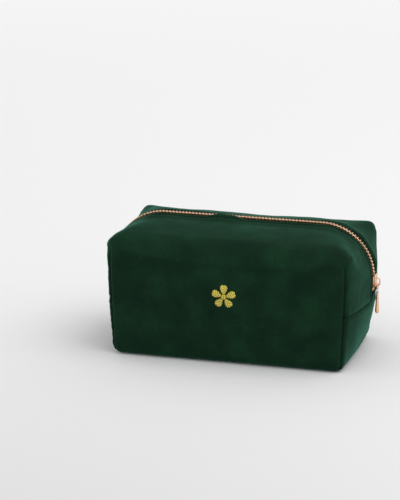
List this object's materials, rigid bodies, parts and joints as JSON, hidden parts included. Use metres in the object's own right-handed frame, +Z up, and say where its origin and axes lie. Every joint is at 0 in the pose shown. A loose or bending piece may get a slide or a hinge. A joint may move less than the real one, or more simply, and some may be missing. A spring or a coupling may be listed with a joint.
{
  "type": "zipped makeup bag",
  "caption": "Boxed velvet makeup bag with a metal zip over the top, a sliding zip slider with a hinged pull, and two lips that open the mouth.",
  "frame": {"origin": "centre of the base's flat underside", "axes": "+X along the bag towards the end with the slider, +Y towards the back, +Z up; the front with the flower faces -Y"},
  "size_m": [0.2397, 0.1265, 0.1165],
  "materials": {
    "velvet": "dark green short-pile velvet",
    "lining": "dark green satin lining",
    "tape": "dark green woven zip tape",
    "zip_metal": "polished rose gold",
    "thread": "gold satin-stitch embroidery thread"
  },
  "bodies": {
    "bag": {"front_panel": "velvet", "back_panel": "velvet", "base_panel": "velvet", "right_end_panel": "velvet", "left_end_panel": "velvet", "right_shoulder_front_panel": "velvet", "left_shoulder_front_panel": "velvet", "right_shoulder_back_panel": "velvet", "left_shoulder_back_panel": "velvet", "front_lining": "lining", "back_lining": "lining", "base_lining": "lining", "right_end_lining": "lining", "left_end_lining": "lining", "right_shoulder_front_lining": "lining", "left_shoulder_front_lining": "lining", "right_shoulder_back_lining": "lining", "left_shoulder_back_lining": "lining", "right_shoulder_front_tape": "tape", "left_shoulder_front_tape": "tape", "right_shoulder_back_tape": "tape", "left_shoulder_back_tape": "tape", "right_shoulder_front_teeth": "zip_metal", "left_shoulder_front_teeth": "zip_metal", "right_shoulder_back_teeth": "zip_metal", "left_shoulder_back_teeth": "zip_metal", "front_top_stop": "zip_metal", "back_top_stop": "zip_metal", "bottom_stop": "zip_metal", "flower_petals": "thread", "flower_eye": "thread"},
    "slider": {"slider_body": "zip_metal"},
    "pull": {"pull": "zip_metal"},
    "front_lip": {"front_lip_panel": "velvet", "front_lip_lining": "lining", "front_lip_tape": "tape", "front_lip_teeth": "zip_metal"},
    "back_lip": {"back_lip_panel": "velvet", "back_lip_lining": "lining", "back_lip_tape": "tape", "back_lip_teeth": "zip_metal"}
  },
  "joints": [
    {"name": "slider_run", "type": "hinge", "parent": "bag", "child": "slider", "pos_m": [0.07051, 0, 0.07001], "axis": [0, -1, 0], "range_deg": [0, 88], "deforming": ["right_shoulder_front_teeth", "right_shoulder_back_teeth"]},
    {"name": "pull_swing", "type": "hinge", "parent": "slider", "child": "pull", "pos_m": [0.1202, 0, 0.06561], "axis": [0, -1, 0], "range_deg": [0, 130]},
    {"name": "front_lip_open", "type": "hinge", "parent": "bag", "child": "front_lip", "pos_m": [0, -0.0557, 0.1024], "axis": [1, 0, 0], "range_deg": [0, 60]},
    {"name": "back_lip_open", "type": "hinge", "parent": "bag", "child": "back_lip", "pos_m": [0, 0.0557, 0.1024], "axis": [-1, 0, 0], "range_deg": [0, 60]}
  ]
}
